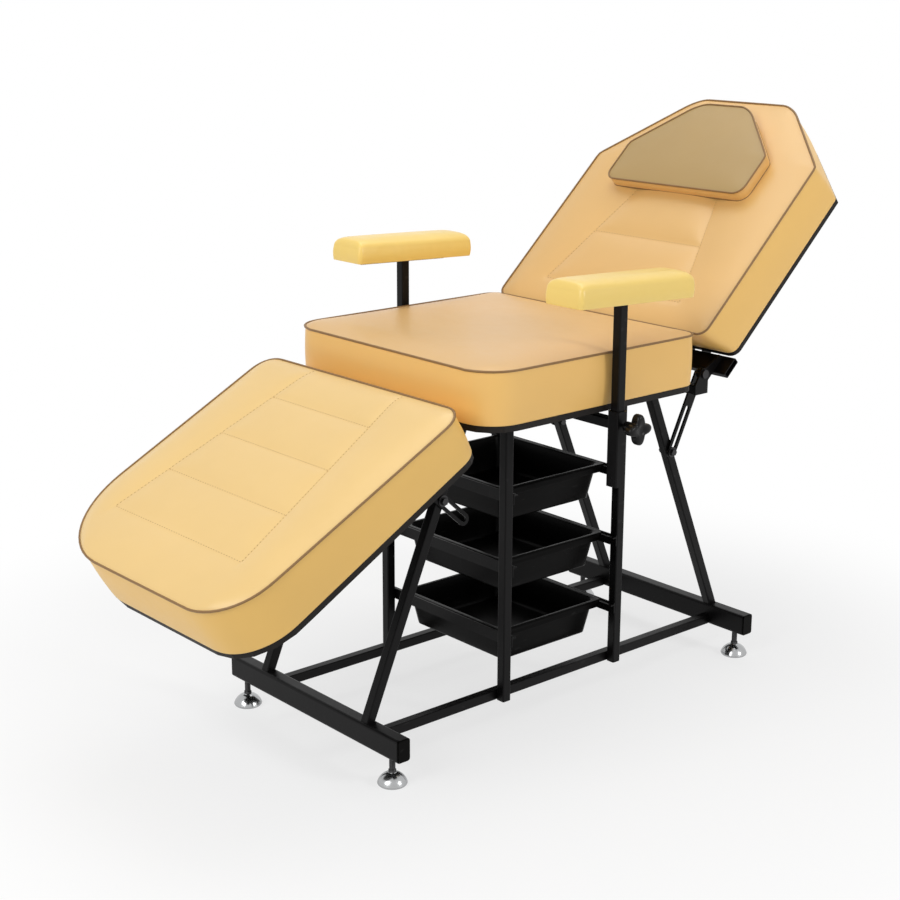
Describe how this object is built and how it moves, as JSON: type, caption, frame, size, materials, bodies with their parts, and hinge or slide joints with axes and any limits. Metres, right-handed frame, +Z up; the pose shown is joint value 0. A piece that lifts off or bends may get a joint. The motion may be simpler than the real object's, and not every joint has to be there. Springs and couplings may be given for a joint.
{
  "type": "barber chair",
  "caption": "Reclining padded salon chair: seat, raised backrest with headrest pillow, drop legrest, height-set armrests, black tube frame and sliding trays",
  "frame": {"origin": "the middle of the bounding box at rest, on the floor", "axes": "+Y toward the head end, +Z up, +X toward the near side of the picture"},
  "size_m": [0.767, 1.6635, 1.1716],
  "materials": {
    "frame_black": "satin",
    "plastic_black": "moulded, slightly shiny",
    "chrome_foot": "polished",
    "zinc_bolt": "zinc plated",
    "board_black": "black stained plywood edge",
    "vinyl_seat": "smooth upholstery vinyl, soft sheen",
    "vinyl_leg": "smooth upholstery vinyl, soft sheen",
    "vinyl_pillow": "smooth upholstery vinyl, soft sheen",
    "vinyl_arm": "glossy upholstery vinyl"
  },
  "bodies": {
    "frame": {"front_base_bar": "frame_black", "rear_base_bar": "frame_black", "base_bar_end_caps": "plastic_black", "near_side_rail": "frame_black", "far_side_rail": "frame_black", "near_front_leg": "frame_black", "far_front_leg": "frame_black", "near_rear_leg": "frame_black", "far_rear_leg": "frame_black", "near_front_rack_post": "frame_black", "far_front_rack_post": "frame_black", "near_rear_rack_post": "frame_black", "far_rear_rack_post": "frame_black", "lower_tray_runners": "frame_black", "middle_tray_runners": "frame_black", "upper_tray_runners": "frame_black", "near_seat_rail": "frame_black", "far_seat_rail": "frame_black", "front_cross_tube": "frame_black", "rear_cross_tube": "frame_black", "back_hinge_ears": "frame_black", "back_hinge_pins": "zinc_bolt", "armrest_side_tubes": "frame_black", "near_armrest_sleeve": "frame_black", "far_armrest_sleeve": "frame_black", "seat_board": "board_black", "seat_cushion": "vinyl_seat", "stay_clamp_bolts": "zinc_bolt", "legrest_hinge_pins": "zinc_bolt"},
    "backrest": {"back_board": "board_black", "back_cushion": "vinyl_seat", "headrest_pillow": "vinyl_pillow", "near_back_tube": "frame_black", "far_back_tube": "frame_black", "back_bottom_bar": "frame_black", "back_hinge_plates": "frame_black", "back_stay_pivots": "zinc_bolt"},
    "legrest": {"legrest_board": "board_black", "legrest_cushion": "vinyl_leg", "near_legrest_tube": "frame_black", "far_legrest_tube": "frame_black", "legrest_hinge_plates": "frame_black", "legrest_stay_pivots": "zinc_bolt"},
    "near_back_stay_body": {"near_back_stay": "frame_black"},
    "near_legrest_stay_body": {"near_legrest_stay": "frame_black"},
    "near_armrest_knob_body": {"near_armrest_knob": "plastic_black"},
    "near_armrest": {"near_armrest_post": "frame_black", "near_armrest_pad": "vinyl_arm"},
    "far_back_stay_body": {"far_back_stay": "frame_black"},
    "far_legrest_stay_body": {"far_legrest_stay": "frame_black"},
    "far_armrest_knob_body": {"far_armrest_knob": "plastic_black"},
    "far_armrest": {"far_armrest_post": "frame_black", "far_armrest_pad": "vinyl_arm"},
    "lower_tray_body": {"lower_tray": "plastic_black"},
    "middle_tray_body": {"middle_tray": "plastic_black"},
    "upper_tray_body": {"upper_tray": "plastic_black"},
    "near_front_foot_body": {"near_front_foot": "chrome_foot"},
    "far_front_foot_body": {"far_front_foot": "chrome_foot"},
    "near_rear_foot_body": {"near_rear_foot": "chrome_foot"},
    "far_rear_foot_body": {"far_rear_foot": "chrome_foot"}
  },
  "joints": [
    {"name": "backrest_hinge", "type": "hinge", "parent": "frame", "child": "backrest", "pos_m": [0, 0.35096, 0.668], "axis": [1, 0, 0], "range_deg": [-43.2, 0]},
    {"name": "legrest_hinge", "type": "hinge", "parent": "frame", "child": "legrest", "pos_m": [0, -0.20404, 0.637], "axis": [1, 0, 0], "range_deg": [-29.6, 18.4]},
    {"name": "near_back_stay_pivot", "type": "hinge", "parent": "backrest", "child": "near_back_stay_body", "pos_m": [0.174, 0.513, 0.76804], "axis": [1, 0, 0], "range_deg": [-0.5, 21.95]},
    {"name": "near_legrest_stay_pivot", "type": "hinge", "parent": "legrest", "child": "near_legrest_stay_body", "pos_m": [0.174, -0.3342, 0.56651], "axis": [1, 0, 0], "range_deg": [-9.75, 15.37]},
    {"name": "far_back_stay_pivot", "type": "hinge", "parent": "backrest", "child": "far_back_stay_body", "pos_m": [-0.174, 0.513, 0.76804], "axis": [1, 0, 0], "range_deg": [-0.5, 21.95]},
    {"name": "far_legrest_stay_pivot", "type": "hinge", "parent": "legrest", "child": "far_legrest_stay_body", "pos_m": [-0.174, -0.3342, 0.56651], "axis": [1, 0, 0], "range_deg": [-9.75, 15.37]},
    {"name": "near_armrest_height", "type": "slide", "parent": "frame", "child": "near_armrest", "axis": [0, 0, 1], "range_m": [-0.05, 0.06]},
    {"name": "near_armrest_knob_turn", "type": "hinge", "parent": "frame", "child": "near_armrest_knob_body", "pos_m": [0.36, 0.05096, 0.624], "axis": [1, 0, 0], "continuous": true},
    {"name": "far_armrest_height", "type": "slide", "parent": "frame", "child": "far_armrest", "axis": [0, 0, 1], "range_m": [-0.05, 0.06]},
    {"name": "far_armrest_knob_turn", "type": "hinge", "parent": "frame", "child": "far_armrest_knob_body", "pos_m": [-0.36, 0.05096, 0.624], "axis": [-1, 0, 0], "continuous": true},
    {"name": "lower_tray_slide", "type": "slide", "parent": "frame", "child": "lower_tray_body", "axis": [1, 0, 0], "range_m": [0, 0.28]},
    {"name": "middle_tray_slide", "type": "slide", "parent": "frame", "child": "middle_tray_body", "axis": [1, 0, 0], "range_m": [0, 0.28]},
    {"name": "upper_tray_slide", "type": "slide", "parent": "frame", "child": "upper_tray_body", "axis": [1, 0, 0], "range_m": [0, 0.28]},
    {"name": "near_front_foot_turn", "type": "hinge", "parent": "frame", "child": "near_front_foot_body", "pos_m": [0.235, -0.43304, 0.05], "axis": [0, 0, 1], "continuous": true},
    {"name": "far_front_foot_turn", "type": "hinge", "parent": "frame", "child": "far_front_foot_body", "pos_m": [-0.235, -0.43304, 0.05], "axis": [0, 0, 1], "continuous": true},
    {"name": "near_rear_foot_turn", "type": "hinge", "parent": "frame", "child": "near_rear_foot_body", "pos_m": [0.235, 0.53496, 0.05], "axis": [0, 0, 1], "continuous": true},
    {"name": "far_rear_foot_turn", "type": "hinge", "parent": "frame", "child": "far_rear_foot_body", "pos_m": [-0.235, 0.53496, 0.05], "axis": [0, 0, 1], "continuous": true}
  ],
  "couplings": [
    {"joint": "near_back_stay_pivot", "follows": "backrest_hinge", "ratio": -0.4965},
    {"joint": "near_legrest_stay_pivot", "follows": "legrest_hinge", "ratio": -0.5025},
    {"joint": "far_back_stay_pivot", "follows": "backrest_hinge", "ratio": -0.4965},
    {"joint": "far_legrest_stay_pivot", "follows": "legrest_hinge", "ratio": -0.5025}
  ]
}
